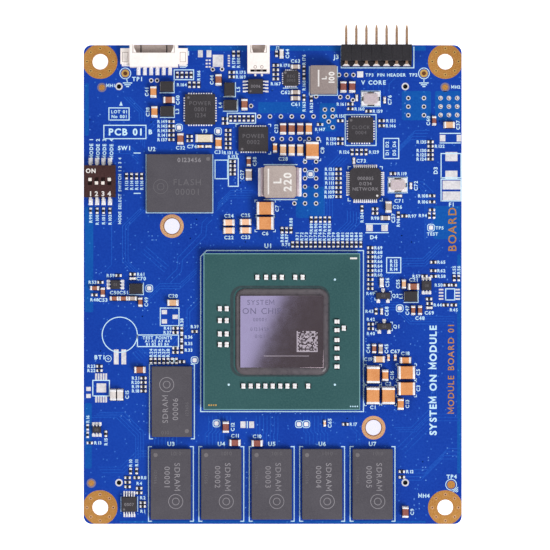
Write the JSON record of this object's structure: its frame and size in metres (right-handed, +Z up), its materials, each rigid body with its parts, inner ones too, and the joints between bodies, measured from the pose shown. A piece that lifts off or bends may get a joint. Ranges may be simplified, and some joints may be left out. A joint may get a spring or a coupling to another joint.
{
  "type": "system on module",
  "caption": "Flat computer module with a bare-die processor, memory row, power parts, edge connectors, a slide switch and mezzanine connectors underneath.",
  "frame": {"origin": "centre of the four corner holes, on the underside of the circuit board", "axes": "+Z up out of the component side, +Y towards the connector edge, +X to the right of it"},
  "size_m": [0.075, 0.0989, 0.0106],
  "materials": {
    "board": "satin solder mask",
    "substrate": "satin laminate",
    "silicon": "polished",
    "epoxy": "satin",
    "chip_package": "fine moulded grain",
    "solder": "tinned",
    "ferrite": "fine grain",
    "crystal_metal": "satin",
    "crystal_ceramic": "matte",
    "capacitor_ceramic": "satin",
    "resistor_film": "satin",
    "black_plastic": "fine moulded grain",
    "pin_metal": "plated",
    "socket_plastic": "moulded",
    "switch_plastic": "moulded",
    "slider_plastic": "moulded"
  },
  "bodies": {
    "module": {"circuit_board": "board", "soc_substrate": "substrate", "soc_die": "silicon", "soc_dam": "epoxy", "soc_capacitors": "capacitor_ceramic", "soc_solder_balls": "solder", "memory_chip_1": "chip_package", "memory_chip_2": "chip_package", "memory_chip_3": "chip_package", "memory_chip_4": "chip_package", "memory_chip_5": "chip_package", "memory_chip_6": "chip_package", "memory_solder_balls": "solder", "storage_chip": "chip_package", "storage_solder_balls": "solder", "power_manager": "chip_package", "power_stage": "chip_package", "regulator": "chip_package", "clock_chip": "chip_package", "network_chip": "chip_package", "network_chip_leads": "solder", "monitor_chip": "chip_package", "monitor_chip_leads": "solder", "buffer_chip": "chip_package", "buffer_chip_leads": "solder", "logic_chips": "chip_package", "logic_chip_leads": "solder", "transistors": "chip_package", "transistor_leads": "solder", "large_inductor": "ferrite", "large_inductor_terminals": "solder", "medium_inductor": "ferrite", "chip_inductors": "ferrite", "crystal_bases": "crystal_ceramic", "crystal_cans": "crystal_metal", "resonator": "crystal_ceramic", "bulk_capacitors": "capacitor_ceramic", "large_capacitors": "capacitor_ceramic", "medium_capacitors": "capacitor_ceramic", "small_capacitors": "capacitor_ceramic", "resistors": "resistor_film", "header_body": "black_plastic", "header_pins": "pin_metal", "wide_socket_housing": "socket_plastic", "wide_socket_contacts": "pin_metal", "wide_socket_tabs": "socket_plastic", "narrow_socket_housing": "socket_plastic", "narrow_socket_contacts": "pin_metal", "switch_body": "switch_plastic", "switch_terminals": "solder", "mezzanine_left_housing": "black_plastic", "mezzanine_left_contacts": "pin_metal", "mezzanine_right_housing": "black_plastic", "mezzanine_right_contacts": "pin_metal", "underside_capacitors": "capacitor_ceramic"},
    "slider_1": {"switch_slider_1": "slider_plastic"},
    "slider_2": {"switch_slider_2": "slider_plastic"},
    "slider_3": {"switch_slider_3": "slider_plastic"},
    "slider_4": {"switch_slider_4": "slider_plastic"}
  },
  "joints": [
    {"name": "slider_1_slide", "type": "slide", "parent": "module", "child": "slider_1", "axis": [0, 1, 0], "range_m": [-0.0007, 0]},
    {"name": "slider_2_slide", "type": "slide", "parent": "module", "child": "slider_2", "axis": [0, 1, 0], "range_m": [0, 0.0007]},
    {"name": "slider_3_slide", "type": "slide", "parent": "module", "child": "slider_3", "axis": [0, 1, 0], "range_m": [0, 0.0007]},
    {"name": "slider_4_slide", "type": "slide", "parent": "module", "child": "slider_4", "axis": [0, 1, 0], "range_m": [-0.0007, 0]}
  ]
}
